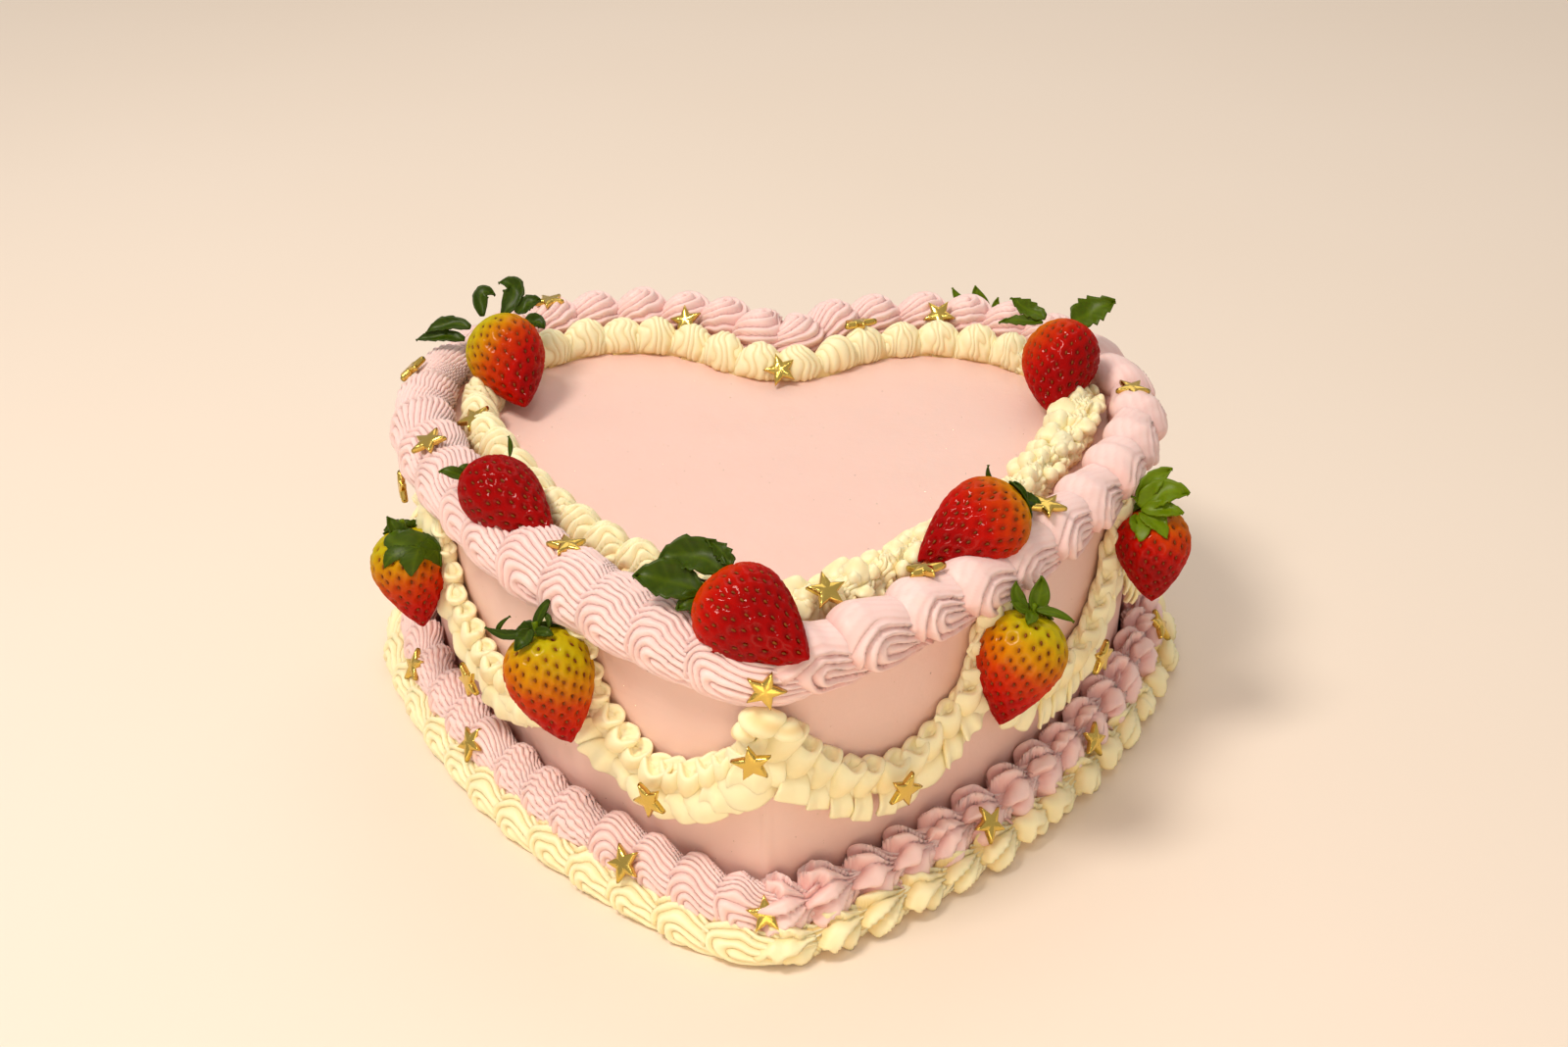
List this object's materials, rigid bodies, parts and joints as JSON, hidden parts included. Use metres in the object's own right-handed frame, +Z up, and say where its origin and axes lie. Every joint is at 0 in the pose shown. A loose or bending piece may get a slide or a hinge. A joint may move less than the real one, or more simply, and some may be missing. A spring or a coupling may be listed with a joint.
{
  "type": "heart shaped cake",
  "caption": "Tall heart shaped celebration cake with smooth icing, piped shell borders, ruffle swags, whole strawberries and gold stars.",
  "frame": {"origin": "on the flat underside, on the mirror line of the heart, between the two lobes", "axes": "+Z up, +Y towards the cleft at the back, -Y towards the tip at the front, +X to the right as the tip faces the viewer"},
  "size_m": [0.2828, 0.258, 0.1239],
  "materials": {
    "smooth_icing": "smooth buttercream, satin",
    "pink_icing": "piped buttercream, satin",
    "cream_icing": "piped buttercream, satin",
    "strawberry": "glossy fresh fruit skin",
    "leaf": "fresh green leaf",
    "gold_star": "polished gold"
  },
  "bodies": {
    "root": {"cake_body": "smooth_icing", "pink_top_border": "pink_icing", "cream_top_border": "cream_icing", "pink_foot_border": "pink_icing", "cream_foot_border": "cream_icing", "swag_left_1": "cream_icing", "swag_left_2": "cream_icing", "swag_left_3": "cream_icing", "swag_left_4": "cream_icing", "swag_left_5": "cream_icing", "swag_right_1": "cream_icing", "swag_right_2": "cream_icing", "swag_right_3": "cream_icing", "swag_right_4": "cream_icing", "swag_right_5": "cream_icing", "strawberry_top_back_left": "strawberry", "strawberry_top_back_right": "strawberry", "strawberry_top_side_left": "strawberry", "strawberry_top_side_right": "strawberry", "strawberry_top_front": "strawberry", "strawberry_side_front_left": "strawberry", "strawberry_side_front_right": "strawberry", "strawberry_side_left": "strawberry", "strawberry_side_right": "strawberry", "strawberry_back_left": "strawberry", "strawberry_back_right": "strawberry", "star_border_01": "gold_star", "star_border_02": "gold_star", "star_border_03": "gold_star", "star_border_04": "gold_star", "star_border_05": "gold_star", "star_border_06": "gold_star", "star_border_07": "gold_star", "star_border_08": "gold_star", "star_border_09": "gold_star", "star_border_10": "gold_star", "star_rim_01": "gold_star", "star_rim_02": "gold_star", "star_rim_03": "gold_star", "star_rim_04": "gold_star", "star_foot_01": "gold_star", "star_foot_02": "gold_star", "star_foot_03": "gold_star", "star_foot_04": "gold_star", "star_foot_05": "gold_star", "star_foot_06": "gold_star", "star_foot_07": "gold_star", "star_foot_08": "gold_star", "star_foot_09": "gold_star", "star_foot_10": "gold_star", "star_swag_01": "gold_star", "star_swag_02": "gold_star", "star_swag_03": "gold_star", "star_swag_04": "gold_star", "star_swag_05": "gold_star", "star_swag_06": "gold_star", "star_swag_07": "gold_star", "star_swag_08": "gold_star", "star_swag_09": "gold_star"}
  },
  "joints": []
}
